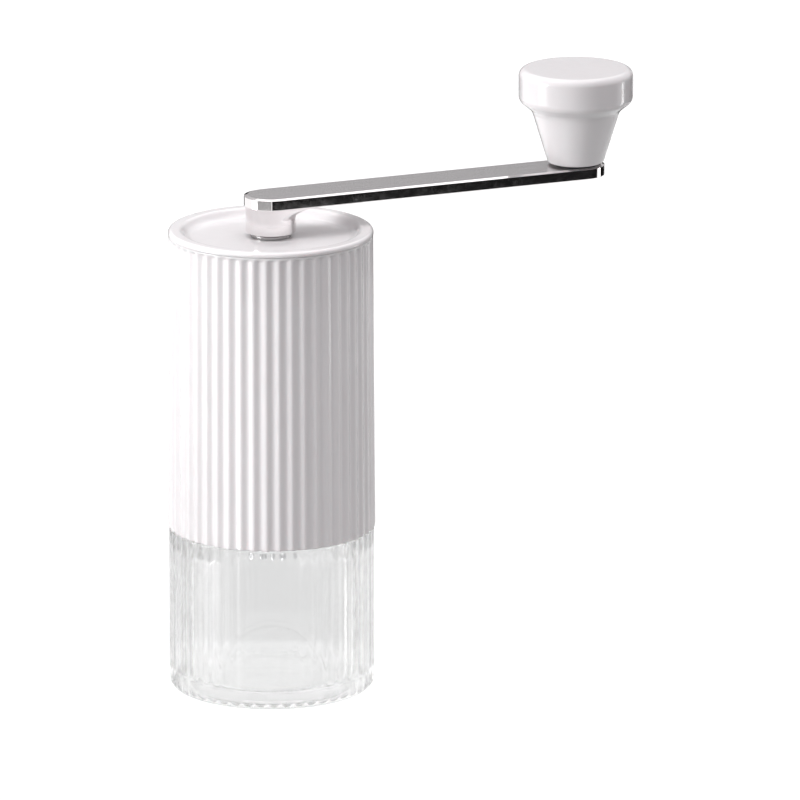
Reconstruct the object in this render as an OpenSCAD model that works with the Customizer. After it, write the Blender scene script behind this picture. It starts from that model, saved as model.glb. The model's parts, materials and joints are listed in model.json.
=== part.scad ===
// Hand crank coffee grinder, in millimetres.
// The origin is on the grinder's axis, at the bottom of the catch jar. +Z is up and the crank arm
// points along +X. The jar stands still, the body screws onto it, and the lid carries the crank.

/* [Outside] */
// Diameter over the rib crests of the white body
shell_d = 58.4; // [58.2:0.1:60]
// Diameter over the rib crests of the catch jar
jar_d = 57.8; // [57.2:0.1:58]
// Diameter of the lid's rim
lid_d = 57.6; // [56.8:0.1:58]
// Height of the joint between jar and body
joint_z = 46.5; // [45:0.5:52]
// Height of the white body
shell_h = 84.5; // [84.5:0.5:100]
// Number of ribs around the body and the jar
rib_count = 50; // [40:1:56]
// Depth of the flute between two ribs
flute_depth = 0.55; // [0.3:0.05:0.6]
// Radius of the flute between two ribs
flute_r = 2.4; // [2.2:0.1:3]

/* [Jar] */
// Radius inside the jar below its neck
jar_inner_r = 25.2; // [24.5:0.1:25.4]
// Radius inside the jar's neck
neck_inner_r = 23.2; // [22.5:0.1:23.4]
// Thickness of the jar's floor
jar_floor = 3.8; // [3:0.1:6]
// Height of the jar's threaded neck
neck_h = 8.5; // [8.5:0.5:10]
// Rise of the jar's thread in one turn
thread_lead = 4; // [4:0.5:5]

/* [Crank] */
// Distance from the shaft's axis to the knob's axis
crank_r = 93.4; // [70:0.2:120]
// Width of the arm
arm_w = 15; // [14:0.1:16]
// Distance from the knob's axis on to the centre of the arm's round end
tip_reach = 0.8; // [0:0.1:2]
// Thickness of the arm
arm_t = 3.2; // [2.8:0.1:5]
// Diameter of the hub under the arm
hub_d = 14.4; // [13:0.1:15]
// Height of the hub under the arm
hub_h = 7.4; // [6:0.1:12]
// Width of the bevel along the arm's upper edge
bevel_w = 1; // [0.5:0.1:2.5]
// Drop of that bevel
bevel_drop = 0.4; // [0.2:0.1:1.2]

/* [Knob] */
// Diameter of the knob's rim
knob_d = 32.4; // [28:0.1:36]
// Height of the knob
knob_h = 27; // [26:0.5:32]
// Diameter of the knob's foot
knob_foot_d = 15.8; // [12:0.1:18]

/* [Burrs and shaft] */
// Outer diameter of the burr ring
burr_d = 38; // [37:0.5:38]
// Height of the burr ring
ring_h = 12; // [11:0.5:12]
// Across the flats of the shaft's hexagons
hex_af = 5; // [4.6:0.1:5.1]
// Diameter of the shaft at its bearings
shaft_d = 6; // [6:0.1:6.2]
// Outer diameter of the ball bearings
bearing_d = 13; // [13:0.5:14]
// Width of the ball bearings
bearing_w = 5; // [5:0.5:6]
// Number of blades at the top of the inner burr
blade_count = 9; // [6:1:12]
// Number of fine teeth on the burrs' grinding band
tooth_count = 36; // [24:1:48]

/* [Fits] */
// Gap between a turning part and its bore
run_gap = 0.05; // [0.03:0.01:0.08]
// Gap between two faces that stay just clear
face_gap = 0.05; // [0.02:0.01:0.1]

/* [Hidden] */
$fn = 96;
eps = 0.01;

// Colours
white = [0.95, 0.95, 0.95];
clear = [0.88, 0.93, 0.95, 0.35];
steel = [0.72, 0.72, 0.74];
bright = [0.82, 0.82, 0.84];
grey = [0.62, 0.64, 0.66];
pale = [0.86, 0.86, 0.85];
dark = [0.16, 0.16, 0.17];
rubber = [0.85, 0.85, 0.83];

// Outside radii
shell_r = shell_d / 2;
jar_r = jar_d / 2;
lid_r = lid_d / 2;
shell_inner_r = 27;
sleeve_r = shell_inner_r - face_gap;

// Radii of the jar's neck, its seal and the lip above the seal
neck_r = 25.5;
seal_r = 25.3;
seal_inner_r = 23.4;
lip_r = 25.4;
lip_inner_r = 23.2;

// Radius of the bottom of the lid's seal groove
lid_groove_r = 25.6;

// Levels of the jar, its thread and its seal
thread_z = joint_z + 1.9;
thread_h = 1;
shoulder_z = joint_z - 0.2;
neck_top = shoulder_z + neck_h + 0.2;
seal_t = 1;
seal_z = neck_top + face_gap;
lip_z = seal_z + seal_t + face_gap;

// Levels of the burr group
clip_t = 1;
clip_z = lip_z + 0.2;
carrier_z = clip_z + clip_t;
burr_z = carrier_z + 0.6;
burr_top = burr_z + ring_h;
bridge_z = burr_top + 10;
bridge_t = 3;
lower_bearing_z = bridge_z - 1;
bridge_head_z = carrier_z + 4.7;
burr_head_z = burr_top + 1.2;

// Levels under the lid
shell_top = joint_z + shell_h;
ledge_z = shell_top - 10;
ledge_t = 2;
upper_ring_t = 3.4;
upper_ring_z = ledge_z - upper_ring_t;
upper_bearing_z = upper_ring_z - 2.6;
skirt_z = shell_top - 6.8;
lid_top = shell_top + 1.5;
lid_floor = shell_top - 0.6;
lid_web = 2;
bush_z = lid_floor - 4.4;

// Levels of the crank and knob
hub_z = shell_top + 0.8;
arm_z = hub_z + hub_h;
arm_top = arm_z + arm_t;
washer_t = 0.6;
knob_z = arm_top + washer_t + face_gap;
pin_top = knob_z + 19.5;
bush_top = knob_z + 16.4;

// Levels of the shaft and dial
spring_foot_z = burr_top - 4;
spring_top = lower_bearing_z - 0.6;
plate_t = 1.5;
plate_r = 9.6;
plate_sink = 0.5;
burr_foot_z = burr_z - 2;
plate_z = burr_foot_z - plate_t;
dial_h = 9.2;
dial_z = plate_z - 0.2 - dial_h;
click_foot_z = dial_z + 4;
shaft_bottom = dial_z - 3.6;
shaft_top = shell_top + 7;
socket_z = shell_top - 6.2;
lower_hex_top = burr_top + 1;
upper_hex_z = shell_top - 8;

// Radii of the shaft, its socket and its bearings
shaft_r = shaft_d / 2;
bearing_r = bearing_d / 2;
hex_r = hex_af / 2 / cos(30);
hex_hole_r = hex_r + run_gap / cos(30);
bush_bore_r = 4.2;
socket_r = bush_bore_r - run_gap;
bush_r = 5.2;
stud_r = 2.5;
pin_r = 3;
knob_bore_r = 4.5;

// Positions round the axis of the bridge arms, of the burr screws between them and of the clicks
arm_angles = [90, 210, 330];
screw_angles = [30, 150, 270];
click_angles = [0, 180];
bridge_screw_r = 22.3;
burr_screw_r = 16.2;
click_r = 7;

// Radii of the screws' shanks and heads, and of the click balls
bridge_shank_r = 1.25;
bridge_head_r = 2.2;
burr_shank_r = 1.5;
burr_head_r = 2.8;
click_ball_r = 1.2;

// Radii and grooves of the retaining rings
socket_groove_r = socket_r - 0.45;
upper_groove_r = shaft_r - 0.4;
thread_r = 2.5;
end_groove_r = thread_r - 0.4;
journal_r = pin_r - run_gap;
pin_groove_r = journal_r - 0.7;

// Radii shared by the bearings' races and balls
ball_r = 0.95;
ball_pitch_r = (shaft_r + bearing_r) / 2;
race_t = 1.35;
ball_count = 7;

// Points on an arc from angle a0 to a1, in steps
function arc(x, y, r, a0, a1, steps = 8) =
    [for (i = [0:steps]) let (a = a0 + (a1 - a0) * i / steps) [x + r * cos(a), y + r * sin(a)]];

// A tube round the axis between two heights
module tube(outer, inner, z0, z1) {
    translate([0, 0, z0]) difference() {
        cylinder(r = outer, h = z1 - z0);
        translate([0, 0, -1]) cylinder(r = inner, h = z1 - z0 + 2);
    }
}

// A rod along the axis between two heights
module rod(r, z0, z1) {
    translate([0, 0, z0]) cylinder(r = r, h = z1 - z0);
}

// A hexagonal rod round the axis between two heights
module hex_rod(r, z0, z1) {
    translate([0, 0, z0]) cylinder(r = r, h = z1 - z0, $fn = 6);
}

// Places its children at each angle, at one radius
module around(angles, r) {
    for (a = angles) rotate(a) translate([r, 0, 0]) children();
}

// The outline of a ribbed cylinder: a disc with a round flute between each two ribs
module ribbed_disc(r) {
    difference() {
        circle(r = r);
        for (i = [0:rib_count - 1])
            rotate((i + 0.5) * 360 / rib_count)
                translate([r + flute_r - flute_depth, 0]) circle(r = flute_r, $fn = 32);
    }
}

// A solid from rings of points: the sides between the rings and a cap at each end
module swept(rings) {
    sides = len(rings[0]);
    last = len(rings) - 1;
    polyhedron(
        points = [for (ring = rings) each ring],
        faces = concat(
            [[for (s = [0:sides - 1]) s]],
            [[for (s = [sides - 1:-1:0]) last * sides + s]],
            [for (i = [0:last - 1], s = [0:sides - 1])
                let (t = (s + 1) % sides) [i * sides + s, (i + 1) * sides + s, i * sides + t]],
            [for (i = [0:last - 1], s = [0:sides - 1])
                let (t = (s + 1) % sides) [i * sides + t, (i + 1) * sides + s, (i + 1) * sides + t]]
        )
    );
}

// A helical ridge that stands on a wall of radius wall_r: height is positive outwards, and the
// foot of the ridge lies inside the wall
module thread_ridge(wall_r, height, z0, a0, a1) {
    step = 7.5;
    foot_half = 0.8;
    crest_half = 0.4;
    fade = 30;
    side = sign(height);
    count = floor((a1 - a0) / step);
    rings = [for (i = [0:count])
        let (
            a = a0 + i * step,
            z = z0 + thread_lead * a / 360,
            grow = max(0.05, min(1, i * step / fade, (count - i) * step / fade)),
            foot = wall_r - side * 0.4,
            crest = wall_r + height * grow,
            outline = [[foot, -foot_half], [crest, -crest_half], [crest, crest_half], [foot, foot_half]]
        )
        [for (p = side > 0 ? outline : [for (k = [3:-1:0]) outline[k]])
            [p[0] * cos(a), p[0] * sin(a), z + p[1]]]];
    swept(rings);
}

// A coil spring between two heights, measured over its wire
module coil_spring(r, wire_r, z0, z1, turns, sides = 8, steps = 20) {
    count = turns * steps;
    rise = z1 - z0 - 2 * wire_r;
    swept([for (i = [0:count])
        let (a = 360 * i / steps, z = z0 + wire_r + rise * i / count)
        [for (s = [0:sides - 1])
            let (b = -360 * s / sides, reach = r + wire_r * cos(b))
            [reach * cos(a), reach * sin(a), z + wire_r * sin(b)]]]);
}

// A C-shaped retaining ring, open towards -X
module retaining_ring(outer, inner, z0, z1, opening) {
    difference() {
        tube(outer, inner, z0, z1);
        translate([-outer - 1, -opening / 2, z0 - 1]) cube([outer + 1, opening, z1 - z0 + 2]);
    }
}

// A socket head screw: shank from z0 to z1, head above it from z1 to z2 with a hexagonal recess
module socket_screw(shank_r, head_r, z0, z1, z2) {
    difference() {
        union() {
            rod(shank_r, z0, z1 + eps);
            rod(head_r, z1, z2);
        }
        hex_rod(head_r * 0.5, z2 - 1.1, z2 + 1);
    }
}

// The toothed outline of a burr: count teeth, each a slow rise and a steep drop
module toothed_disc(root, tip, count) {
    polygon([for (i = [0:count - 1], k = [0:2])
        let (
            share = [0, 0.72, 0.86][k],
            r = [root, tip, tip][k],
            a = 360 * (i + share) / count
        )
        [r * cos(a), r * sin(a)]]);
}

// ---- Jar ----

module catch_jar() {
    heel_r = 2.4;
    foot_r = jar_r - heel_r;
    foot_inner_r = foot_r - 3.4;
    kick = 0.9;
    corner_r = 3;
    outside = concat(
        [[0, kick], [foot_inner_r - 1.5, kick], [foot_inner_r, 0]],
        arc(foot_r, heel_r, heel_r, -90, 0, 6),
        [[jar_r, shoulder_z - 0.5], [jar_r - 0.5, shoulder_z], [0, shoulder_z]]
    );
    inside = concat(
        [[0, jar_floor]],
        arc(jar_inner_r - corner_r, jar_floor + corner_r, corner_r, -90, 0, 6),
        [
            [jar_inner_r, shoulder_z - 6],
            [neck_inner_r, shoulder_z - 1],
            [neck_inner_r, neck_top + 1],
            [0, neck_top + 1]
        ]
    );
    color(clear) difference() {
        union() {
            intersection() {
                rotate_extrude() polygon(outside);
                linear_extrude(shoulder_z + 1) ribbed_disc(jar_r);
            }
            rod(neck_r, shoulder_z - 1, neck_top);
            thread_ridge(neck_r, thread_h, thread_z, 0, 450);
        }
        rotate_extrude() polygon(inside);
    }
}

module jar_seal() {
    color(rubber) tube(seal_r, seal_inner_r, seal_z, seal_z + seal_t);
}

// ---- Body ----

module body_shell() {
    groove_r = 27.6;
    lid_seat_r = 27;
    ledge_r = 26;
    color(white) difference() {
        union() {
            difference() {
                translate([0, 0, joint_z]) linear_extrude(shell_h) ribbed_disc(shell_r);
                rod(shell_inner_r, joint_z - 1, ledge_z);
                rod(ledge_r, joint_z - 1, shell_top + 1);
                rod(lid_seat_r, ledge_z + ledge_t, shell_top + 1);
            }
            thread_ridge(shell_inner_r, -thread_h, thread_z + thread_lead / 2, -210, 210);
        }
        rod(groove_r, clip_z - 0.05, carrier_z + eps);
    }
}

module carrier_clip() {
    color(steel) retaining_ring(27.5, 25.7, clip_z, clip_z + clip_t - 0.05, 9);
}

module burr_carrier() {
    throat_r = 12.8;
    rim_r = 25.3;
    funnel_z = burr_top + 7.5;
    boss_r = 3.4;
    hole_gap = 0.05;
    head_gap = 0.1;
    profile = [
        [burr_d / 2 + face_gap, carrier_z],
        [lip_inner_r, carrier_z],
        [lip_inner_r, lip_z],
        [lip_r, lip_z],
        [lip_r, carrier_z],
        [sleeve_r, carrier_z],
        [sleeve_r, bridge_z],
        [rim_r, bridge_z],
        [rim_r, funnel_z],
        [throat_r, burr_top + 1],
        [throat_r, burr_top],
        [burr_d / 2 + face_gap, burr_top]
    ];
    color(pale) difference() {
        union() {
            rotate_extrude() polygon(profile);
            around(arm_angles, bridge_screw_r) rod(boss_r, burr_top + 3, bridge_z);
        }
        around(arm_angles, bridge_screw_r) {
            rod(bridge_shank_r + hole_gap, carrier_z - 1, bridge_z + 1);
            rod(bridge_head_r + head_gap, carrier_z - 1, bridge_head_z);
        }
        around(screw_angles, burr_screw_r) {
            rod(burr_shank_r + hole_gap, burr_top - 1, burr_top + 6);
            rod(burr_head_r + head_gap, burr_head_z, burr_top + 8);
        }
    }
}

module outer_burr() {
    tip_bottom_r = 16.6;
    tip_top_r = 12.6;
    tooth_depth = 0.9;
    color(steel) difference() {
        rod(burr_d / 2, burr_z, burr_top);
        translate([0, 0, burr_z - eps])
            linear_extrude(ring_h + 2 * eps, scale = tip_top_r / tip_bottom_r, twist = 12, slices = 8)
                toothed_disc(tip_bottom_r, tip_bottom_r + tooth_depth, tooth_count);
        around(screw_angles, burr_screw_r) rod(burr_shank_r, burr_top - 4.5, burr_top + 1);
    }
}

module burr_screws() {
    color(bright) around(screw_angles, burr_screw_r)
        socket_screw(burr_shank_r, burr_head_r, burr_top - 4.4, burr_head_z, burr_head_z + 1.9);
}

// A bearing bridge: an outer ring from z0 to z1, three arms and a hub with a bearing seat
module bridge(z0, z1, hub_z0, hub_z1, arm_z0, arm_z1, seat_z0, seat_z1) {
    hub_r = bearing_r + 2;
    hub_hole_r = 5;
    inner_r = 24.6;
    arm_half = 2.4;
    difference() {
        union() {
            tube(sleeve_r, inner_r, z0, z1);
            rod(hub_r, hub_z0, hub_z1);
            for (a = arm_angles) rotate(a)
                translate([hub_r - 2, -arm_half, arm_z0])
                    cube([inner_r - hub_r + 3, 2 * arm_half, arm_z1 - arm_z0]);
        }
        rod(bearing_r, seat_z0, seat_z1);
        rod(hub_hole_r, hub_z0 - 1, hub_z1 + 1);
    }
}

module lower_bridge() {
    seat_top = lower_bearing_z + bearing_w;
    color(grey) difference() {
        bridge(
            bridge_z, bridge_z + bridge_t, lower_bearing_z - 0.4, seat_top + 1.2,
            bridge_z, bridge_z + bridge_t, lower_bearing_z - 1, seat_top
        );
        around(arm_angles, bridge_screw_r) rod(bridge_shank_r, bridge_z - 1, bridge_z + bridge_t + 1);
    }
}

module bridge_screws() {
    color(bright) around(arm_angles, bridge_screw_r)
        translate([0, 0, bridge_head_z]) mirror([0, 0, 1])
            socket_screw(bridge_shank_r, bridge_head_r, bridge_head_z - bridge_z - bridge_t, 0, 2);
}

module hopper_liner() {
    wall = 0.8;
    color(steel) tube(sleeve_r, sleeve_r - wall, bridge_z + bridge_t, upper_ring_z);
}

module upper_bridge() {
    color(grey) bridge(
        upper_ring_z, ledge_z, upper_bearing_z - 1.2, upper_bearing_z + bearing_w - 0.4,
        upper_ring_z, upper_ring_z + 2.4, upper_bearing_z, ledge_z + 1
    );
}

// ---- Ball bearings ----

// One bearing race between two radii, with the ball groove at mid height
module race(outer, inner, z0) {
    translate([0, 0, z0]) rotate_extrude() difference() {
        translate([inner, 0]) square([outer - inner, bearing_w]);
        translate([ball_pitch_r, bearing_w / 2]) circle(r = ball_r + 0.05, $fn = 48);
    }
}

module race_balls(z0) {
    around([for (i = [0:ball_count - 1]) i * 360 / ball_count], ball_pitch_r)
        translate([0, 0, z0 + bearing_w / 2]) sphere(r = ball_r, $fn = 32);
}

module upper_bearing_outer() {
    color(bright) race(bearing_r, bearing_r - race_t, upper_bearing_z);
}

module upper_bearing_inner() {
    color(bright) race(shaft_r + race_t, shaft_r, upper_bearing_z);
}

module upper_bearing_balls() {
    color(bright) race_balls(upper_bearing_z);
}

module lower_bearing_outer() {
    color(bright) race(bearing_r, bearing_r - race_t, lower_bearing_z);
}

module lower_bearing_inner() {
    color(bright) race(shaft_r + race_t, shaft_r, lower_bearing_z);
}

module lower_bearing_balls() {
    color(bright) race_balls(lower_bearing_z);
}

// ---- Lid ----

module lid() {
    seat_r = 26.7;
    rim_w = 2.6;
    rim_inner_r = lid_r - rim_w;
    skirt_inner_r = 24.6;
    boss_r = 8;
    edge_r = 0.5;
    profile = concat(
        [
            [bush_r, bush_z],
            [boss_r, bush_z],
            [boss_r, lid_floor - lid_web],
            [skirt_inner_r, lid_floor - lid_web],
            [skirt_inner_r, skirt_z],
            [seat_r - 0.3, skirt_z],
            [seat_r, skirt_z + 0.3],
            [seat_r, shell_top + face_gap]
        ],
        [[lid_r - 0.3, shell_top + face_gap]],
        arc(lid_r - edge_r, lid_top - edge_r, edge_r, 0, 90, 4),
        arc(rim_inner_r + edge_r, lid_top - edge_r, edge_r, 90, 165, 4),
        [[rim_inner_r - 0.7, lid_floor], [bush_r, lid_floor]]
    );
    color(white) difference() {
        rotate_extrude() polygon(profile);
        tube(lid_r, lid_groove_r, skirt_z + 2.2, skirt_z + 4);
    }
}

module lid_seal() {
    section_r = 0.6;
    ring_r = lid_groove_r + face_gap + section_r;
    color(rubber) translate([0, 0, skirt_z + 3.1]) rotate_extrude()
        translate([ring_r, 0]) circle(r = section_r, $fn = 32);
}

module lid_bush() {
    flange_r = 5.8;
    color(grey) difference() {
        union() {
            rod(bush_r, bush_z, lid_floor + eps);
            rod(flange_r, lid_floor, hub_z - 0.35);
        }
        rod(bush_bore_r, bush_z - 1, hub_z);
    }
}

// ---- Crank ----

// Half the arm's cross-section: flat underside, upright side and a bevel up to the flat top
function arm_section() = [
    [0, 0],
    [arm_w / 2, 0],
    [arm_w / 2, arm_t - bevel_drop],
    [arm_w / 2 - bevel_w, arm_t],
    [0, arm_t]
];

module crank_arm() {
    hub_r = hub_d / 2;
    tip_x = crank_r + tip_reach;
    fillet_r = 5;
    chamfer = 0.4;
    color(bright) difference() {
        union() {
            for (x = [0, tip_x]) translate([x, 0, arm_z]) rotate_extrude() polygon(arm_section());
            translate([0, 0, arm_z]) rotate([90, 0, 90]) linear_extrude(tip_x) {
                polygon(arm_section());
                mirror([1, 0]) polygon(arm_section());
            }
            translate([0, 0, hub_z]) rotate_extrude() polygon([
                [0, 0], [hub_r - chamfer, 0], [hub_r, chamfer], [hub_r, hub_h], [0, hub_h]
            ]);
            difference() {
                translate([0, -hub_r, arm_z - fillet_r]) cube([hub_r + fillet_r, hub_d, fillet_r]);
                translate([hub_r + fillet_r, 0, arm_z - fillet_r]) rotate([90, 0, 0])
                    cylinder(r = fillet_r, h = hub_d + 2, center = true);
            }
        }
        rod(socket_r, hub_z - 1, shaft_top + 0.6);
        translate([crank_r, 0, 0]) rod(stud_r, arm_z - 1, arm_top + 1);
    }
}

module drive_socket() {
    color(steel) difference() {
        rod(socket_r, socket_z, shaft_top + 0.6);
        hex_rod(hex_hole_r, socket_z - 1, shaft_top + 0.3);
        tube(socket_r + 1, socket_groove_r, bush_z - 1.1, bush_z - 0.3);
    }
}

module socket_clip() {
    color(steel) retaining_ring(6.2, socket_groove_r, bush_z - 1.1, bush_z - 0.3, 4);
}

module knob_pin() {
    head_r = 3.75;
    head_h = 1.2;
    color(bright) translate([crank_r, 0, 0]) difference() {
        union() {
            translate([0, 0, arm_z - head_h]) rotate_extrude() polygon([
                [0, 0], [head_r - 0.5, 0], [head_r, 0.4], [head_r, head_h], [0, head_h]
            ]);
            rod(stud_r, arm_z - eps, arm_top + eps);
            rod(journal_r, arm_top, pin_top);
        }
        tube(journal_r + 1, pin_groove_r, bush_top + 0.2, bush_top + 1.1);
    }
}

module knob_washer() {
    washer_r = 5.6;
    color(dark) translate([crank_r, 0, 0]) tube(washer_r, pin_r, arm_top, arm_top + washer_t);
}

// ---- Knob ----

module knob() {
    rim_r = knob_d / 2;
    foot_r = knob_foot_d / 2;
    waist_r = 12.5;
    waist_h = 13.8;
    rim_h = waist_h + 5.2;
    flare_r = 2;
    edge_r = 2.2;
    profile = concat(
        [[0, 0], [foot_r - 0.4, 0], [foot_r, 0.4], [waist_r - 0.15, waist_h - 0.6], [waist_r + 0.2, waist_h]],
        arc(rim_r - flare_r, rim_h, flare_r, -42, 0, 5),
        arc(rim_r - edge_r, knob_h - edge_r, edge_r, 0, 90, 8),
        [[0, knob_h]]
    );
    color(white) translate([crank_r, 0, knob_z]) difference() {
        rotate_extrude() polygon(profile);
        rod(knob_bore_r, -1, pin_top - knob_z + 0.6);
    }
}

module knob_bush() {
    color(dark) translate([crank_r, 0, 0]) tube(knob_bore_r, pin_r, knob_z, bush_top);
}

module knob_clip() {
    color(steel) translate([crank_r, 0, 0])
        retaining_ring(knob_bore_r - 0.05, pin_groove_r + 0.1, bush_top + 0.3, bush_top + 1, 2.4);
}

// ---- Shaft ----

module drive_shaft() {
    base = upper_bearing_z + bearing_w;
    color(steel) difference() {
        union() {
            rod(thread_r, shaft_bottom, burr_foot_z - 2);
            hex_rod(hex_r, burr_foot_z - 3, lower_hex_top + 1);
            rod(shaft_r, lower_hex_top, upper_hex_z);
            hex_rod(hex_r, upper_hex_z - 1, shaft_top);
        }
        tube(shaft_r + 1, upper_groove_r, base, base + 0.7);
        tube(shaft_r + 1, end_groove_r, shaft_bottom + 0.6, shaft_bottom + 1.2);
    }
}

module shaft_clip() {
    base = upper_bearing_z + bearing_w;
    color(steel) retaining_ring(5, upper_groove_r, base, base + 0.7, 3.4);
}

module end_clip() {
    color(steel) retaining_ring(4.4, end_groove_r, shaft_bottom + 0.6, shaft_bottom + 1.2, 2.6);
}

module spring_washer() {
    color(steel) tube(4.3, shaft_r, spring_top, lower_bearing_z);
}

module burr_spring() {
    coil_r = 4.1;
    wire_r = 0.4;
    color(bright) coil_spring(coil_r, wire_r, spring_foot_z, spring_top, 5);
}

// ---- Inner burr and grind setting ----

module inner_burr() {
    band_r = 16.2;
    band_h = 2.4;
    nose_r = 7;
    nose_h = ring_h + 2 - band_h;
    spring_pocket_r = 5;
    plate_pocket_r = plate_r + 0.2;
    color(steel) difference() {
        union() {
            translate([0, 0, burr_foot_z]) linear_extrude(band_h)
                toothed_disc(band_r - 0.7, band_r, tooth_count);
            translate([0, 0, burr_foot_z + band_h])
                linear_extrude(nose_h, scale = nose_r / band_r, twist = 70, slices = 16)
                    toothed_disc(band_r * 0.76, band_r, blade_count);
            rod(nose_r - 1.2, burr_foot_z + band_h, burr_top);
        }
        hex_rod(hex_hole_r, burr_foot_z - 1, burr_top + 1);
        rod(spring_pocket_r, spring_foot_z, burr_top + 1);
        rod(plate_pocket_r, burr_foot_z - 1, burr_foot_z + plate_sink);
    }
}

module index_plate() {
    dimple_count = 12;
    dimple_r = 1.3;
    color(bright) difference() {
        rod(plate_r, plate_z, burr_foot_z + plate_sink);
        hex_rod(hex_hole_r, plate_z - 1, burr_foot_z + 1);
        around([for (i = [0:dimple_count - 1]) i * 360 / dimple_count], click_r)
            translate([0, 0, plate_z - 0.75]) sphere(r = dimple_r, $fn = 24);
    }
}

module adjusting_dial() {
    grip_r = 11;
    grip_h = 6;
    collar_r = 9;
    scallop_r = 1.7;
    scallop_count = 12;
    hex_clear_r = hex_r + 0.15;
    hex_clear_h = 2.2;
    color(pale) difference() {
        union() {
            rod(grip_r, dial_z, dial_z + grip_h);
            rod(collar_r, dial_z + grip_h - 1, dial_z + dial_h);
        }
        rod(thread_r + 0.1, dial_z - 1, dial_z + dial_h + 1);
        rod(hex_clear_r, dial_z + dial_h - hex_clear_h, dial_z + dial_h + 1);
        around([for (i = [0:scallop_count - 1]) (i + 0.5) * 360 / scallop_count], grip_r + 0.9)
            rod(scallop_r, dial_z - 1, dial_z + grip_h + 1);
        around(click_angles, click_r) rod(click_ball_r + 0.1, click_foot_z, dial_z + dial_h + 1);
    }
}

module detent_balls() {
    color(bright) around(click_angles, click_r)
        translate([0, 0, plate_z - face_gap - click_ball_r]) sphere(r = click_ball_r, $fn = 32);
}

module detent_springs() {
    coil_r = 0.85;
    wire_r = 0.2;
    color(steel) around(click_angles, click_r)
        coil_spring(coil_r, wire_r, click_foot_z, plate_z - face_gap - 2 * click_ball_r, 4, 6, 12);
}

catch_jar();
jar_seal();
body_shell();
burr_carrier();
carrier_clip();
outer_burr();
burr_screws();
lower_bridge();
bridge_screws();
hopper_liner();
upper_bridge();
upper_bearing_outer();
lower_bearing_outer();
lid();
lid_bush();
lid_seal();
crank_arm();
drive_socket();
socket_clip();
knob_pin();
knob_washer();
knob();
knob_bush();
knob_clip();
drive_shaft();
shaft_clip();
upper_bearing_inner();
upper_bearing_balls();
lower_bearing_inner();
lower_bearing_balls();
burr_spring();
spring_washer();
end_clip();
inner_burr();
index_plate();
adjusting_dial();
detent_balls();
detent_springs();
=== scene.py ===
"""Hand crank coffee grinder: the looks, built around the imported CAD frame.

Lengths are in metres. MM turns millimetres into metres, and places come from the CAD nodes' boxes.
"""

import json
import math

import bpy
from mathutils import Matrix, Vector


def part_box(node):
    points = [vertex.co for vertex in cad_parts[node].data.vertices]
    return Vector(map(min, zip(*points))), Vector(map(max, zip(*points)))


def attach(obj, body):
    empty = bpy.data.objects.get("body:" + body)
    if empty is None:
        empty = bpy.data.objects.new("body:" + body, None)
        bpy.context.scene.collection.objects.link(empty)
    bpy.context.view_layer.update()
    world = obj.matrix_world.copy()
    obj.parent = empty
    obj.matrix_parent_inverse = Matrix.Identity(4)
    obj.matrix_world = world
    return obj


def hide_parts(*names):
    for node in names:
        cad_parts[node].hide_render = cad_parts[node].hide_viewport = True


MM = 0.001
TAU = 2 * math.pi

# The ribs that run round the shell and the jar
RIB_COUNT = 50
RIB_STEPS = 12
FLUTE_DEPTH = 0.55 * MM
# Below 1 it makes the flutes wider than the ribs
FLUTE_POWER = 0.85
# The screw thread between jar and shell. Its ridge is flat to the crest's half width and falls to its
# foot's, and it fades in and out over a part of a turn.
THREAD_LEAD = 4 * MM
THREAD_HEIGHT = 1.0 * MM
THREAD_CREST = 0.35 * MM
THREAD_FOOT = 0.85 * MM
THREAD_FADE = 0.08
FIRST_THREAD_UP = 1.9 * MM
# Steps round a plain turned piece
ROUND_STEPS = 192
# Radii and heights nearer than this are the same
TINY = 1e-7
# Most of a noise texture's values lie between these
NOISE_LOW = 0.3
NOISE_HIGH = 0.7

# The camera: a long lens from the left and above, aimed beside the grinder's axis
CAMERA_AZIMUTH = -23.1
CAMERA_ELEVATION = 14.9
CAMERA_DISTANCE = 3.0
CAMERA_SIDE = 36.2 * MM
CAMERA_UP = 80.0 * MM
# Focal length and sensor width, in millimetres, as Blender takes them
CAMERA_LENS = 476.55
SENSOR_WIDTH = 36


# ---- Profiles ----


def rounded(corners, steps=6):
    """Points along an open outline of corners (x, y, radius), with an arc where a radius isn't 0."""
    points = []
    for i, (x, y, radius) in enumerate(corners):
        here = Vector((x, y))
        if radius == 0 or i in (0, len(corners) - 1):
            points.append((x, y))
            continue
        before = (Vector(corners[i - 1][:2]) - here).normalized()
        after = (Vector(corners[i + 1][:2]) - here).normalized()
        half = before.angle(after) / 2
        reach = radius / math.tan(half)
        centre = here + (before + after).normalized() * (radius / math.sin(half))
        start = here + before * reach - centre
        turn = start.angle_signed(here + after * reach - centre)
        for k in range(steps + 1):
            angle = -turn * k / steps
            c, s = math.cos(angle), math.sin(angle)
            points.append((centre.x + start.x * c - start.y * s, centre.y + start.x * s + start.y * c))
    return points


def smooth(edge0, edge1, value):
    """0 below edge0, 1 above edge1, and a smooth step between them."""
    t = min(1, max(0, (value - edge0) / (edge1 - edge0)))
    return t * t * (3 - 2 * t)


def flute(angle):
    """How deep the flutes are at an angle: 0 on a rib's crest and 1 in the middle of a flute."""
    return (0.5 - 0.5 * math.cos(RIB_COUNT * angle)) ** FLUTE_POWER


def ridge(angle, z, first_z, first_turn, last_turn):
    """The height of a helical thread ridge, from 0 to 1, at a point on its wall."""
    height = 0
    for turn in range(-2, 4):
        along = angle / TAU + turn
        off = abs(z - first_z - THREAD_LEAD * along)
        fade_in = smooth(first_turn, first_turn + THREAD_FADE, along)
        fade_out = smooth(last_turn - THREAD_FADE, last_turn, along)
        height = max(height, fade_in * (1 - fade_out) * (1 - smooth(THREAD_CREST, THREAD_FOOT, off)))
    return height


# ---- Meshes ----


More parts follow.
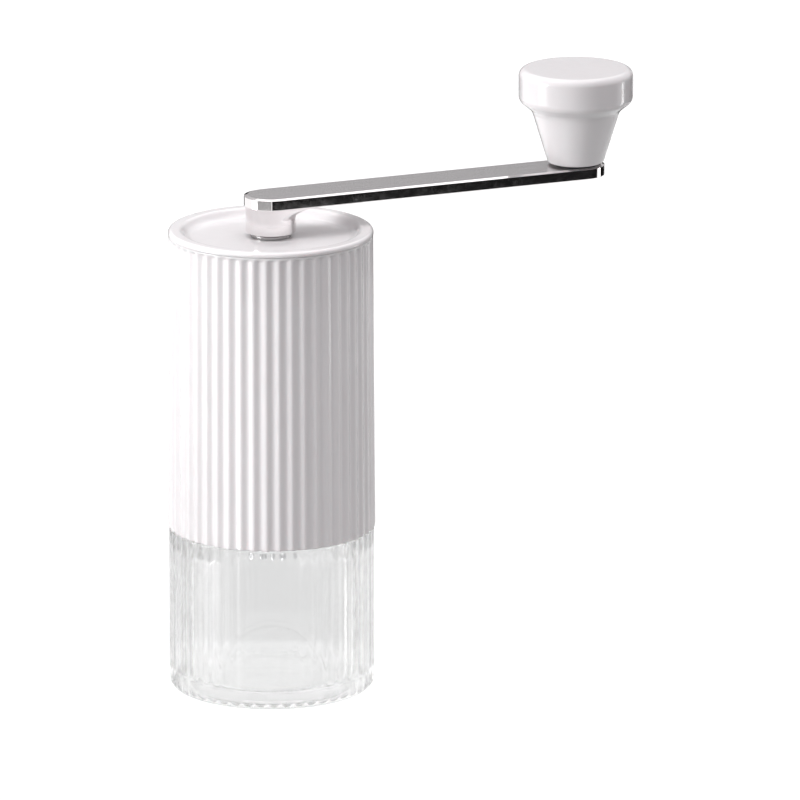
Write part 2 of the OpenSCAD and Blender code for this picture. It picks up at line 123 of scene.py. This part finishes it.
def mesh_object(name, points, faces, sharp=40):
    """An object of those points and faces, smooth but for edges sharper than an angle in degrees."""
    mesh = bpy.data.meshes.new(name)
    mesh.from_pydata(points, [], faces)
    mesh.validate()
    mesh.update()
    mesh.shade_smooth()
    mesh.set_sharp_from_angle(angle=math.radians(sharp))
    piece = bpy.data.objects.new(name, mesh)
    bpy.context.scene.collection.objects.link(piece)
    weighted = piece.modifiers.new("weighted_normals", "WEIGHTED_NORMAL")
    weighted.keep_sharp = True
    return piece


def turned(name, rows, steps=ROUND_STEPS, at=(0, 0), closed=False):
    """A turned piece. Each row is (radius, height) or (radius, height, shape), and shape gives how far the
    surface moves out at (angle, height). A row of radius 0 is a point on the axis."""
    points = []
    rings = []
    for row in rows:
        r, z = row[:2]
        shape = row[2] if len(row) > 2 else None
        start = len(points)
        count = 1 if r < TINY else steps
        for k in range(count):
            angle = TAU * k / steps
            reach = r + (shape(angle, z) if shape else 0)
            points.append((at[0] + reach * math.cos(angle), at[1] + reach * math.sin(angle), z))
        rings.append((start, count))
    faces = []
    pairs = list(zip(rings, rings[1:])) + ([(rings[-1], rings[0])] if closed else [])
    for (a, a_count), (b, b_count) in pairs:
        for k in range(steps):
            n = (k + 1) % steps
            if a_count == 1:
                faces.append((a, b + n, b + k))
            elif b_count == 1:
                faces.append((a + k, a + n, b))
            else:
                faces.append((a + k, a + n, b + n, b + k))
    return mesh_object(name, points, faces)


def rows_between(z0, z1, step):
    """Heights from z0 to z1 at about that step."""
    count = max(1, round(abs(z1 - z0) / step))
    return [z0 + (z1 - z0) * i / count for i in range(count + 1)]


# ---- Materials ----


class Nodes:
    """A material's node tree, with short calls to add and join nodes."""

    def __init__(self, name):
        self.material = bpy.data.materials.new(name)
        self.material.use_nodes = True
        self.tree = self.material.node_tree
        self.shader = self.tree.nodes["Principled BSDF"]
        self.place = self.add("ShaderNodeTexCoord").outputs["Object"]

    def add(self, kind, **values):
        """A new node with those properties."""
        node = self.tree.nodes.new(kind)
        for key, value in values.items():
            setattr(node, key, value)
        return node

    def link(self, source, target):
        """Joins an output to an input."""
        self.tree.links.new(source, target)

    def set(self, **values):
        """Constants on the shader's own sockets, where _ stands for a space in a socket's name."""
        for key, value in values.items():
            self.shader.inputs[key.replace("_", " ")].default_value = value

    def stretched(self, scale):
        """The object's coordinates, scaled along each axis."""
        mapping = self.add("ShaderNodeMapping")
        mapping.inputs["Scale"].default_value = scale
        self.link(self.place, mapping.inputs["Vector"])
        return mapping.outputs["Vector"]

    def noise(self, scale, detail, vector=None):
        """A noise texture's value, at the object's own coordinates unless a vector is given."""
        node = self.add("ShaderNodeTexNoise")
        node.inputs["Scale"].default_value = scale
        node.inputs["Detail"].default_value = detail
        self.link(vector or self.place, node.inputs["Vector"])
        return node.outputs["Fac"]

    def span(self, value, low, high):
        """A noise value stretched to lie between low and high."""
        node = self.add("ShaderNodeMapRange")
        node.inputs["From Min"].default_value = NOISE_LOW
        node.inputs["From Max"].default_value = NOISE_HIGH
        node.inputs["To Min"].default_value = low
        node.inputs["To Max"].default_value = high
        self.link(value, node.inputs["Value"])
        return node.outputs["Result"]

    def blend(self, value, first, second):
        """A colour between two, by a value from 0 to 1."""
        node = self.add("ShaderNodeMix", data_type="RGBA")
        node.inputs["A"].default_value = (*first, 1)
        node.inputs["B"].default_value = (*second, 1)
        self.link(value, node.inputs["Factor"])
        return node.outputs["Result"]

    def bump(self, height, distance, strength):
        """Bump on the shader from a height and how far it stands."""
        node = self.add("ShaderNodeBump")
        node.inputs["Strength"].default_value = strength
        node.inputs["Distance"].default_value = distance
        self.link(height, node.inputs["Height"])
        self.link(node.outputs["Normal"], self.shader.inputs["Normal"])


def white_plastic():
    """Glossy moulded white plastic: a very slight flow mottle, and an almost flat orange peel."""
    n = Nodes("white_gloss")
    mottle = n.span(n.noise(60, 4), 0, 1)
    n.link(n.blend(mottle, (0.81, 0.79, 0.8), (0.79, 0.77, 0.78)), n.shader.inputs["Base Color"])
    n.link(n.span(n.noise(400, 3), 0.13, 0.2), n.shader.inputs["Roughness"])
    n.set(IOR=1.5, Coat_Weight=0.25, Coat_Roughness=0.06, Subsurface_Weight=0.6, Subsurface_Scale=1.2 * MM)
    n.shader.inputs["Subsurface Radius"].default_value = (1, 0.9, 0.9)
    n.bump(n.noise(900, 2), 0.012 * MM, 0.35)
    return n.material


def clear_glass():
    """Clear pressed glass with a faint waviness from its mould. A little light goes straight through it
    without being bent, which keeps its ribs soft."""
    n = Nodes("clear_glass")
    tint = n.span(n.noise(30, 2), 0, 1)
    n.link(n.blend(tint, (0.9, 0.903, 0.903), (0.88, 0.883, 0.883)), n.shader.inputs["Base Color"])
    n.link(n.span(n.noise(150, 2), 0.07, 0.11), n.shader.inputs["Roughness"])
    n.set(IOR=1.49, Transmission_Weight=1.0, Alpha=0.78)
    n.bump(n.noise(90, 2), 0.05 * MM, 0.3)
    return n.material


def polished_metal(name, colour, low, high):
    """Polished metal with fine polishing marks and a roughness between low and high."""
    scratch = 0.006 * MM
    n = Nodes(name)
    worn = n.span(n.noise(80, 4), 0, 1)
    darker = tuple(c * 0.94 for c in colour)
    n.link(n.blend(worn, colour, darker), n.shader.inputs["Base Color"])
    n.link(n.span(n.noise(500, 4), low, high), n.shader.inputs["Roughness"])
    n.set(Metallic=1.0)
    n.bump(n.noise(1500, 3), scratch, 0.4)
    return n.material


def brushed_metal(name, colour, grain, low, high):
    """Brushed metal with a roughness between low and high. Its noise is drawn out along the brushing, which
    runs along the axis where grain is small."""
    depth = 0.012 * MM
    n = Nodes(name)
    lines = n.noise(1, 4, n.stretched(grain))
    tone = n.span(lines, 0, 1)
    darker = tuple(c * 0.86 for c in colour)
    n.link(n.blend(tone, colour, darker), n.shader.inputs["Base Color"])
    n.link(n.span(lines, low, high), n.shader.inputs["Roughness"])
    n.set(Metallic=1.0)
    n.bump(lines, depth, 0.6)
    return n.material


def cast_metal(name, colour):
    """Bead-blasted aluminium: an even fine grain."""
    n = Nodes(name)
    grain = n.noise(2600, 3)
    darker = tuple(c * 0.85 for c in colour)
    n.link(n.blend(n.span(n.noise(120, 4), 0, 1), colour, darker), n.shader.inputs["Base Color"])
    n.link(n.span(grain, 0.38, 0.5), n.shader.inputs["Roughness"])
    n.set(Metallic=1.0)
    n.bump(grain, 0.02 * MM, 0.5)
    return n.material


def matt_plastic(name, colour, lift):
    """Matt moulded plastic with a fine spark-eroded texture, whose crests are lighter by the lift."""
    n = Nodes(name)
    grain = n.noise(2200, 3)
    lighter = tuple(min(1, c * lift) for c in colour)
    n.link(n.blend(n.span(grain, 0, 1), colour, lighter), n.shader.inputs["Base Color"])
    n.link(n.span(n.noise(300, 3), 0.42, 0.55), n.shader.inputs["Roughness"])
    n.set(IOR=1.5)
    n.bump(grain, 0.02 * MM, 0.5)
    return n.material


def silicone(name, colour):
    """Soft matt silicone with a dusty surface."""
    n = Nodes(name)
    dust = n.span(n.noise(700, 4), 0, 1)
    lighter = tuple(min(1, c * 1.06) for c in colour)
    n.link(n.blend(dust, colour, lighter), n.shader.inputs["Base Color"])
    n.link(n.span(n.noise(500, 3), 0.5, 0.62), n.shader.inputs["Roughness"])
    n.set(IOR=1.41, Sheen_Weight=0.15)
    n.bump(n.noise(1600, 3), 0.015 * MM, 0.4)
    return n.material


# ---- The frame ----

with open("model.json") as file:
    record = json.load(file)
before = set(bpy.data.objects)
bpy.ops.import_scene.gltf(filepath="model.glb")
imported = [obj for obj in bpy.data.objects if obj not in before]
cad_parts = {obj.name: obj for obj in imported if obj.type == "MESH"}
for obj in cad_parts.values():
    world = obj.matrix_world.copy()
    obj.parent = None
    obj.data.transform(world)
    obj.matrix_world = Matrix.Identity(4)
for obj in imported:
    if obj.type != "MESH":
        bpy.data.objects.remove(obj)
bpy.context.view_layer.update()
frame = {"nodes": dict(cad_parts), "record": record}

white = white_plastic()
glass = clear_glass()
chrome = polished_metal("crank_polish", (0.87, 0.85, 0.85), 0.04, 0.09)
# The lid bush's chrome, painted darker than the crank's: a painted shade for the shadow and dark reflections
# under the hub
shade_darkened_chrome = polished_metal("bush_chrome_painted_shade", (0.42, 0.41, 0.41), 0.2, 0.3)
satin = brushed_metal("crank_satin", (0.74, 0.73, 0.73), (60, 2600, 2600), 0.18, 0.27)
MATERIALS = {
    "clear_glass": glass,
    "white_gloss": white,
    "crank_chrome": chrome,
    "soft_seal": silicone("soft_seal", (0.82, 0.81, 0.79)),
    "dark_plastic": matt_plastic("dark_plastic", (0.035, 0.035, 0.038), 1.35),
    "pale_plastic": matt_plastic("pale_plastic", (0.74, 0.72, 0.7), 1.06),
    "cast_aluminium": cast_metal("cast_aluminium", (0.66, 0.67, 0.68)),
    "burr_steel": brushed_metal("burr_steel", (0.46, 0.46, 0.47), (500, 500, 2600), 0.22, 0.36),
    "liner_steel": brushed_metal("liner_steel", (0.66, 0.66, 0.67), (120, 120, 3600), 0.24, 0.36),
    "shaft_steel": brushed_metal("shaft_steel", (0.58, 0.58, 0.59), (300, 300, 5200), 0.16, 0.28),
    "bearing_steel": polished_metal("bearing_steel", (0.68, 0.68, 0.69), 0.08, 0.16),
    "screw_steel": polished_metal("screw_steel", (0.52, 0.52, 0.54), 0.18, 0.3),
    "spring_steel": polished_metal("spring_steel", (0.4, 0.4, 0.41), 0.16, 0.28),
}

for part in frame["record"]["subparts"]:
    node = frame["nodes"][part["node"]]
    node.data.materials.clear()
    node.data.materials.append(MATERIALS[part["material_slot"]])


def finish_piece(piece, node, body, slot, *materials):
    """The piece stands for a CAD node, rides on its body and takes its materials. The slot is not used."""
    for material in materials:
        piece.data.materials.append(material)
    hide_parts(node)
    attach(piece, body)
    return piece


shell_low, shell_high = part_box("body_shell")
jar_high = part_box("catch_jar")[1]
lid_low, lid_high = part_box("lid")
arm_low, arm_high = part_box("crank_arm")
knob_low, knob_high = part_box("knob")
pin_low, pin_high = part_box("knob_pin")
bush_low, bush_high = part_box("lid_bush")
KNOB_X = (knob_low.x + knob_high.x) / 2
JOINT_Z = shell_low.z
SHELL_TOP = shell_high.z
FIRST_THREAD_Z = JOINT_Z + FIRST_THREAD_UP


# ---- Body shell ----


def body_shell():
    """The ribbed white shell, a little wider at its foot, with the thread for the jar inside its mouth."""
    foot_r = shell_high.x + 0.05 * MM
    top_r = shell_high.x - 0.5 * MM
    bore_r = 27.0 * MM
    ledge_r = 26.0 * MM
    ledge_top = SHELL_TOP - 8 * MM
    ledge_low = SHELL_TOP - 10 * MM
    thread_top = JOINT_Z + 9 * MM
    thread_low = JOINT_Z + 1.1 * MM
    thread_step = 0.22 * MM
    thread_turns = 0.583
    outside_r = 28.05 * MM
    fade_low = SHELL_TOP - 1.3 * MM
    fade_high = SHELL_TOP - 0.25 * MM
    wall_low = JOINT_Z + 1 * MM
    wall_high = SHELL_TOP - 2 * MM

    def ribs(angle, z):
        return -FLUTE_DEPTH * flute(angle) * (1 - smooth(fade_low, fade_high, z))

    def thread(angle, z):
        first_z = FIRST_THREAD_Z + THREAD_LEAD / 2
        return -THREAD_HEIGHT * ridge(angle, z, first_z, -thread_turns, thread_turns)

    corners = [
        (bore_r, wall_low, 0),
        (bore_r, JOINT_Z, 0.3 * MM),
        (foot_r, JOINT_Z, 0.55 * MM),
        (top_r, SHELL_TOP, 0.35 * MM),
        (bore_r, SHELL_TOP, 0.25 * MM),
        (bore_r, ledge_top, 0.2 * MM),
        (ledge_r, ledge_top, 0.2 * MM),
        (ledge_r, ledge_low, 0.2 * MM),
        (bore_r, ledge_low, 0.2 * MM),
        (bore_r, thread_top, 0),
    ]
    rows = []
    for r, z in rounded(corners):
        outside = r > outside_r
        if outside and rows and rows[-1][1] < wall_low < wall_high < z:
            # More rows up the straight wall, close together where the ribs fade out
            low_r, low_z = rows[-1][:2]
            taper = (r - low_r) / (z - low_z)
            heights = [low_z + 5 * MM, SHELL_TOP - 12 * MM, wall_high]
            heights += rows_between(SHELL_TOP - 1.4 * MM, SHELL_TOP - 0.4 * MM, 0.1 * MM)
            rows += [(low_r + taper * (h - low_z), h, ribs) for h in heights]
        rows.append((r, z, ribs if outside else None))
    rows += [(bore_r, z, thread) for z in rows_between(thread_top, thread_low, thread_step)[1:]]
    piece = turned("body_shell_skin", rows, RIB_COUNT * RIB_STEPS, closed=True)
    return finish_piece(piece, "body_shell", "housing", "white_gloss", white)


# ---- Jar ----


def catch_jar():
    """The clear jar: ribs outside, a rounded heel, a thick floor and a threaded neck."""
    wall_r = jar_high.x
    shoulder = JOINT_Z - 0.2 * MM
    neck_r = 25.5 * MM
    neck_bore = 23.2 * MM
    bore = 25.2 * MM
    floor = 3.8 * MM
    heel = 2.4 * MM
    rib_end = 0.3 * MM
    rib_share = 0.7
    row_step = 10 * MM
    thread_step = 0.2 * MM
    thread_low = shoulder + 1 * MM
    thread_turns = 1.25
    kick = 0.9 * MM
    foot_bore = 22.6 * MM
    top = jar_high.z

    def ribs(angle, z):
        return -rib_share * FLUTE_DEPTH * flute(angle) * smooth(rib_end, heel, z)

    def thread(angle, z):
        return THREAD_HEIGHT * ridge(angle, z, FIRST_THREAD_Z, 0, thread_turns)

    corners = [
        (0, kick, 0),
        (foot_bore - 1.2 * MM, kick, 0.8 * MM),
        (foot_bore, 0, 0.5 * MM),
        (wall_r, 0, heel),
        (wall_r, shoulder, 0.4 * MM),
        (neck_r, shoulder, 0.3 * MM),
        (neck_r, thread_low, 0),
        (neck_r, top, 0.6 * MM),
        (neck_bore, top, 0.6 * MM),
        (neck_bore, shoulder - 0.5 * MM, 2 * MM),
        (bore, shoulder - 5.5 * MM, 4 * MM),
        (bore, floor, 3 * MM),
        (0, floor, 0),
    ]
    rows = []
    for r, z in rounded(corners, 8):
        outside = r > neck_r + 1 * MM and z > 0.1 * MM
        if outside and rows and rows[-1][1] < shoulder / 2 < z:
            rows += [(wall_r, h, ribs) for h in rows_between(rows[-1][1], z, row_step)[1:-1]]
        if abs(r - neck_r) < TINY and abs(z - thread_low) < TINY:
            rows += [(neck_r, h, thread) for h in rows_between(z, top - 1 * MM, thread_step)]
            continue
        rows.append((r, z, ribs if outside else None))
    piece = turned("catch_jar_glass", rows, RIB_COUNT * RIB_STEPS)
    # Clear glass throws hardly any shadow, and the renderer would give it a solid one
    piece.visible_shadow = False
    return finish_piece(piece, "catch_jar", "jar", "clear_glass", glass)


# ---- Lid ----


def lid():
    """The lid: a rounded rim round a shallow dish, a skirt with a groove for its seal, and a boss."""
    rim_r = lid_high.x
    rim_low = SHELL_TOP + 0.05 * MM
    rim_top = lid_high.z
    dish = SHELL_TOP - 0.6 * MM
    web = dish - 2 * MM
    seat = 26.7 * MM
    skirt = 24.6 * MM
    groove = 25.6 * MM
    groove_low = lid_low.z + 2.2 * MM
    groove_top = lid_low.z + 4.0 * MM
    boss = 8 * MM
    hole = 5.2 * MM
    boss_low = bush_low.z
    corners = [
        (hole, dish, 0.15 * MM),
        (hole + 1 * MM, dish, 0),
        (rim_r - 5.4 * MM, dish, 3.0 * MM),
        (rim_r - 3.6 * MM, rim_top, 1.6 * MM),
        (rim_r, rim_top, 1.0 * MM),
        (rim_r, rim_low, 0.2 * MM),
        (seat, rim_low, 0.1 * MM),
        (seat, groove_top, 0.1 * MM),
        (groove, groove_top, 0.1 * MM),
        (groove, groove_low, 0.1 * MM),
        (seat, groove_low, 0.1 * MM),
        (seat, lid_low.z, 0.4 * MM),
        (skirt, lid_low.z, 0.4 * MM),
        (skirt, web, 1.2 * MM),
        (boss, web, 0.8 * MM),
        (boss, boss_low, 0.4 * MM),
        (hole, boss_low, 0.2 * MM),
        (hole, dish - 0.5 * MM, 0),
    ]
    piece = turned("lid_skin", rounded(corners), 256, closed=True)
    return finish_piece(piece, "lid", "lid", "white_gloss", white)


def lid_bush():
    """The metal collar in the middle of the lid, with a rounded flange. Its chrome is painted darker than
    the crank's, a painted shade standing in for the shadow and dark reflections round the hub's foot.
    """
    flange = bush_high.x
    bore = 4.2 * MM
    sleeve = 5.19 * MM
    seat = SHELL_TOP - 0.6 * MM
    corners = [
        (bore, bush_high.z - 0.5 * MM, 0),
        (bore, bush_high.z, 0.15 * MM),
        (flange, bush_high.z, 0.3 * MM),
        (flange, seat, 0.05 * MM),
        (sleeve, seat, 0),
        (sleeve, bush_low.z, 0.15 * MM),
        (bore, bush_low.z, 0.15 * MM),
    ]
    piece = turned("lid_bush_metal", rounded(corners), 128, closed=True)
    return finish_piece(piece, "lid_bush", "lid", "crank_chrome", shade_darkened_chrome)


# ---- Crank ----


def arm_ring(z, half, reach, cap, power, steps=48):
    """One level of the crank: a half circle round the hub's axis, straight sides to reach, and an end cap
    of that depth, round where power is 2 and squarer above it."""
    ring = []
    for k in range(steps + 1):
        angle = math.pi / 2 + math.pi * k / steps
        ring.append((half * math.cos(angle), half * math.sin(angle), z))
    for k in range(steps + 1):
        angle = -math.pi / 2 + math.pi * k / steps
        c, s = math.cos(angle), math.sin(angle)
        x = cap * abs(c) ** (2 / power)
        y = half * math.copysign(abs(s) ** (2 / power), s)
        ring.append((reach + x, y, z))
    return ring


def loft(name, rings, flat, sharp):
    """Joins rings of points with quads and closes the first and last; flat faces get material 1."""
    count = len(rings[0])
    points = [p for ring in rings for p in ring]
    faces = [tuple(range(count - 1, -1, -1))]
    for i in range(len(rings) - 1):
        for k in range(count):
            n = (k + 1) % count
            faces.append((i * count + k, i * count + n, (i + 1) * count + n, (i + 1) * count + k))
    faces.append(tuple(range((len(rings) - 1) * count, len(rings) * count)))
    piece = mesh_object(name, points, faces, sharp)
    for i in flat:
        piece.data.polygons[i].material_index = 1
    return piece


def crank_arm():
    """The crank: a hub that widens a little into the arm's end, a fillet under the arm, and a flat arm
    with a bevelled upper edge."""
    half = arm_high.y
    hub_r = 7.1 * MM
    flare = 0.15 * MM
    hub_z = arm_low.z
    top = arm_high.z
    under = top - 3.2 * MM
    tip = arm_high.x - half
    fillet_x = 5.6 * MM
    fillet_z = 3.3 * MM
    bevel = 1.0 * MM
    drop = 0.32 * MM
    edge = half - hub_r - flare
    foot_edge = 0.15 * MM
    blend_cap = 1.6 * MM
    blend_square = 1.6
    inset = 0.1 * MM
    steps = 16
    edge_steps = 4

    rings = []
    for k in range(edge_steps + 1):
        angle = math.pi / 2 * k / edge_steps
        r = hub_r - foot_edge * (1 - math.sin(angle))
        rings.append(arm_ring(hub_z + foot_edge * (1 - math.cos(angle)), r, 0, r, 2))
    for k in range(steps + 1):
        angle = math.pi / 2 * k / steps
        share = smooth(0, 1, k / steps)
        r = hub_r + flare * share
        cap = r + (blend_cap - r) * share
        reach = hub_r + fillet_x * (1 - math.cos(angle)) - cap
        z = under - fillet_z * (1 - math.sin(angle))
        rings.append(arm_ring(z, r, reach, cap, 2 + blend_square * share))
    # The arm's underside runs from the end of the fillet to the arm's tip
    rings[-1] = arm_ring(under - 0.01 * MM, hub_r + flare, tip, half - edge, 2)
    for k in range(edge_steps + 1):
        angle = math.pi / 2 * k / edge_steps
        r = half - edge * (1 - math.sin(angle))
        rings.append(arm_ring(under + edge * (1 - math.cos(angle)), r, tip, r, 2))
    for r, z in [(half, top - drop), (half - bevel, top), (half - bevel - inset, top)]:
        rings.append(arm_ring(z, r, tip, r, 2))
    piece = loft("crank_arm_metal", rings, flat=(-1,), sharp=12)
    return finish_piece(piece, "crank_arm", "crank", "crank_chrome", chrome, satin)


def knob_pin():
    """The pivot pin: a low domed head under the arm and a journal up into the knob."""
    head = 3.75 * MM
    neck = 2.5 * MM
    journal = 2.95 * MM
    head_top = pin_low.z + 1.2 * MM
    arm_top = arm_high.z
    corners = [
        (0, pin_low.z, 0),
        (head - 0.2 * MM, pin_low.z, 0.6 * MM),
        (head, head_top, 0.05 * MM),
        (neck, head_top, 0),
        (neck, arm_top, 0),
        (journal, arm_top, 0),
        (journal, pin_high.z, 0.3 * MM),
        (0, pin_high.z, 0),
    ]
    piece = turned("knob_pin_metal", rounded(corners), 96, (KNOB_X, 0))
    return finish_piece(piece, "knob_pin", "crank", "crank_chrome", chrome)


# ---- Knob ----


def knob():
    """The knob: a tapered stem that flares through a soft hollow into a wide rim with a rounded top."""
    foot = 7.9 * MM
    waist = 12.5 * MM
    rim = knob_high.x - KNOB_X
    z0 = knob_low.z
    z1 = knob_high.z
    bore = 4.5 * MM
    bore_top = pin_high.z + 0.6 * MM
    waist_z = z0 + 15.0 * MM
    rim_z = z0 + 18.0 * MM
    corners = [
        (0, bore_top, 0),
        (bore, bore_top, 0.2 * MM),
        (bore, z0, 0.2 * MM),
        (foot, z0, 0.5 * MM),
        (waist, waist_z, 4.0 * MM),
        (rim, rim_z, 2.6 * MM),
        (rim, z1, 2.1 * MM),
        (0, z1, 0),
    ]
    piece = turned("knob_skin", rounded(corners, 10), 192, (KNOB_X, 0))
    return finish_piece(piece, "knob", "knob", "white_gloss", white)


body_shell()
catch_jar()
lid()
lid_bush()
crank_arm()
knob_pin()
knob()


# ---- Studio ----


def sideways(azimuth, elevation=0.0):
    """The direction at an azimuth right of the camera's own and an elevation, both in degrees."""
    a, e = math.radians(azimuth + CAMERA_AZIMUTH), math.radians(elevation)
    return Vector((math.sin(a) * math.cos(e), -math.cos(a) * math.cos(e), math.sin(e)))


def stage_material(name, colour, roughness, ior):
    """A plain paint for the floor and cards, with a very slight mottle."""
    n = Nodes(name)
    darker = tuple(c * 0.995 for c in colour)
    n.link(n.blend(n.span(n.noise(3, 2), 0, 1), colour, darker), n.shader.inputs["Base Color"])
    n.set(Roughness=roughness, IOR=ior)
    return n.material


def studio_floor():
    """A wide white light table with a faint gloss, which lights the object only in its mirrors and glass."""
    size = 6.0
    glow = 0.85
    points = [(-size, -size, 0), (size, -size, 0), (size, size, 0), (-size, size, 0)]
    floor = mesh_object("studio_floor", points, [(0, 1, 2, 3)])
    paint = stage_material("studio_floor", (0.2, 0.2, 0.2), 0.12, 1.3)
    shader = paint.node_tree.nodes["Principled BSDF"]
    shader.inputs["Emission Color"].default_value = (1, 1, 1, 1)
    shader.inputs["Emission Strength"].default_value = glow
    floor.data.materials.append(paint)
    floor.visible_diffuse = False


def card(name, points, faces, colour, glow=0.0, seen_by="glossy"):
    """A studio card that only mirrors or only glass can see, and that throws no shadow."""
    sheet = mesh_object(name, points, faces)
    paint = stage_material(name, (colour,) * 3, 0.9, 1.1)
    shader = paint.node_tree.nodes["Principled BSDF"]
    shader.inputs["Emission Color"].default_value = (1, 1, 1, 1)
    shader.inputs["Emission Strength"].default_value = glow
    sheet.data.materials.append(paint)
    for ray in ("camera", "diffuse", "shadow", "glossy", "transmission"):
        setattr(sheet, "visible_" + ray, ray == seen_by)


def curved_card(name, radius, z0, z1, az0, az1, **looks):
    """A card that stands on part of a circle round the object, between two azimuths from the camera's."""
    steps = 24
    points = []
    for k in range(steps + 1):
        side = sideways(az0 + (az1 - az0) * k / steps) * radius
        points += [(side.x, side.y, z0), (side.x, side.y, z1)]
    faces = [(2 * k, 2 * k + 2, 2 * k + 3, 2 * k + 1) for k in range(steps)]
    card(name, points, faces, **looks)


def floor_card(name, z, corners, **looks):
    """A card that lies over the floor. Its corners are pairs of distances (right, towards the camera)."""
    points = []
    for right, near in corners:
        place = sideways(90) * right + sideways(0) * near
        points.append((place.x, place.y, z))
    card(name, points, [tuple(range(len(points)))], **looks)


def area_light(name, place, aim, size, power, mirrored=True, spread=180):
    """A soft box at a place, turned to the aim. Size is its width and height, power is in watts and spread
    in degrees."""
    data = bpy.data.lights.new(name, "AREA")
    data.shape = "RECTANGLE"
    data.size, data.size_y = size
    data.energy = power
    data.spread = math.radians(spread)
    light = bpy.data.objects.new(name, data)
    light.visible_glossy = mirrored
    bpy.context.scene.collection.objects.link(light)
    light.location = place
    light.rotation_euler = (Vector(aim) - Vector(place)).to_track_quat("-Z", "Y").to_euler()


def studio_world():
    """A soft surround whose strength rises evenly from straight down to straight up."""
    strength_down = -0.14
    strength_up = 0.9
    world = bpy.data.worlds.new("studio")
    world.use_nodes = True
    tree = world.node_tree
    place = tree.nodes.new("ShaderNodeTexCoord")
    dot = tree.nodes.new("ShaderNodeVectorMath")
    dot.operation = "DOT_PRODUCT"
    dot.inputs[1].default_value = (0, 0, 1)
    span = tree.nodes.new("ShaderNodeMapRange")
    span.inputs["From Min"].default_value = -1.0
    span.inputs["To Min"].default_value = strength_down
    span.inputs["To Max"].default_value = strength_up
    tree.links.new(place.outputs["Generated"], dot.inputs[0])
    tree.links.new(dot.outputs["Value"], span.inputs["Value"])
    tree.links.new(span.outputs["Result"], tree.nodes["Background"].inputs["Strength"])
    tree.nodes["Background"].inputs["Color"].default_value = (1, 0.975, 0.99, 1)
    bpy.context.scene.world = world


def overhead_light():
    """A very soft light from above."""
    data = bpy.data.lights.new("overhead", "SUN")
    data.energy = 1.15
    # The width of the disc that it seems to come from
    data.angle = math.radians(60)
    light = bpy.data.objects.new("overhead", data)
    bpy.context.scene.collection.objects.link(light)
    light.rotation_euler = Vector((0, 0, 1)).to_track_quat("Z", "Y").to_euler()


def cards():
    """What the mirrors and the glass see: dark and grey cards for the mirrors only, and for the glass only a
    pale tent all round and a pale floor behind the jar."""
    low = 0.002
    high = 0.22
    curved_card("dark_card", 0.5, low, high, 7, 95, colour=0.01)
    curved_card("dark_side_card", 0.5, low, high, 113, 150, colour=0.01)
    curved_card("grey_card", 0.52, low, high, -60, 4, colour=0.05, glow=0.36)
    curved_card("dark_back_card", 0.32, 0.03, 0.19, 150, 210, colour=0.01)
    curved_card("glass_tent", 0.9, low, 0.9, 0, 360, colour=0.1, glow=0.8, seen_by="transmission")
    side = 0.5
    nearest = -0.034
    farthest = -0.8
    behind = [(-side, nearest), (side, nearest), (side, farthest), (-side, farthest)]
    floor_card("glass_floor", 0.001, behind, colour=0.1, glow=0.7, seen_by="transmission")


def lights():
    """A soft light overhead, the key at the left, a light from behind, a weak fill and a narrow strip at the
    right, and two small lights aimed up at the knob and down at the lid."""
    overhead_light()
    middle = Vector((0.03, 0, 0.09))
    area_light("key", sideways(-71, 5) * 1.2, middle, size=(0.46, 0.46), power=15.2)
    area_light("back", Vector((0.38, 0.58, 0.72)) * 1.2, middle, size=(0.7, 0.5), power=1.0)

    fill = sideways(62) * 0.45 + Vector((0, 0, 0.03))
    area_light("fill", fill, (0, 0, 0.08), size=(0.3, 0.06), power=0.1, mirrored=False)

    strip_height = Vector((0, 0, 0.07))
    area_light("strip", sideways(108) * 0.4 + strip_height, strip_height, size=(0.03, 0.14), power=0.075)

    knob_aim = Vector((KNOB_X, 0, 0.155))
    under_knob = sideways(-35) * 0.15 + Vector((KNOB_X, 0, 0.05))
    area_light("under_knob", under_knob, knob_aim, size=(0.1, 0.1), power=0.006, mirrored=False, spread=40)

    lid_aim = Vector((0, 0, SHELL_TOP))
    over_lid = Vector((-0.25, -0.02, 0.42))
    area_light("lid_light", over_lid, lid_aim, size=(0.12, 0.12), power=0.009, mirrored=False, spread=16)


def studio():
    """The floor, the cards, the surround and the lights."""
    studio_floor()
    cards()
    studio_world()
    lights()
    bpy.context.scene.view_settings.view_transform = "Standard"


def camera():
    """The long lens at the viewing angle, aimed beside the axis so that the grinder stands to the left."""
    back = sideways(0, CAMERA_ELEVATION)
    right = sideways(90)
    up = back.cross(right)
    data = bpy.data.cameras.new("camera")
    data.sensor_width = SENSOR_WIDTH
    data.lens = CAMERA_LENS
    data.clip_end = 100
    eye = bpy.data.objects.new("camera", data)
    bpy.context.scene.collection.objects.link(eye)
    eye.location = right * CAMERA_SIDE + up * CAMERA_UP + back * CAMERA_DISTANCE
    eye.rotation_euler = back.to_track_quat("Z", "Y").to_euler()
    bpy.context.scene.camera = eye


studio()
camera()
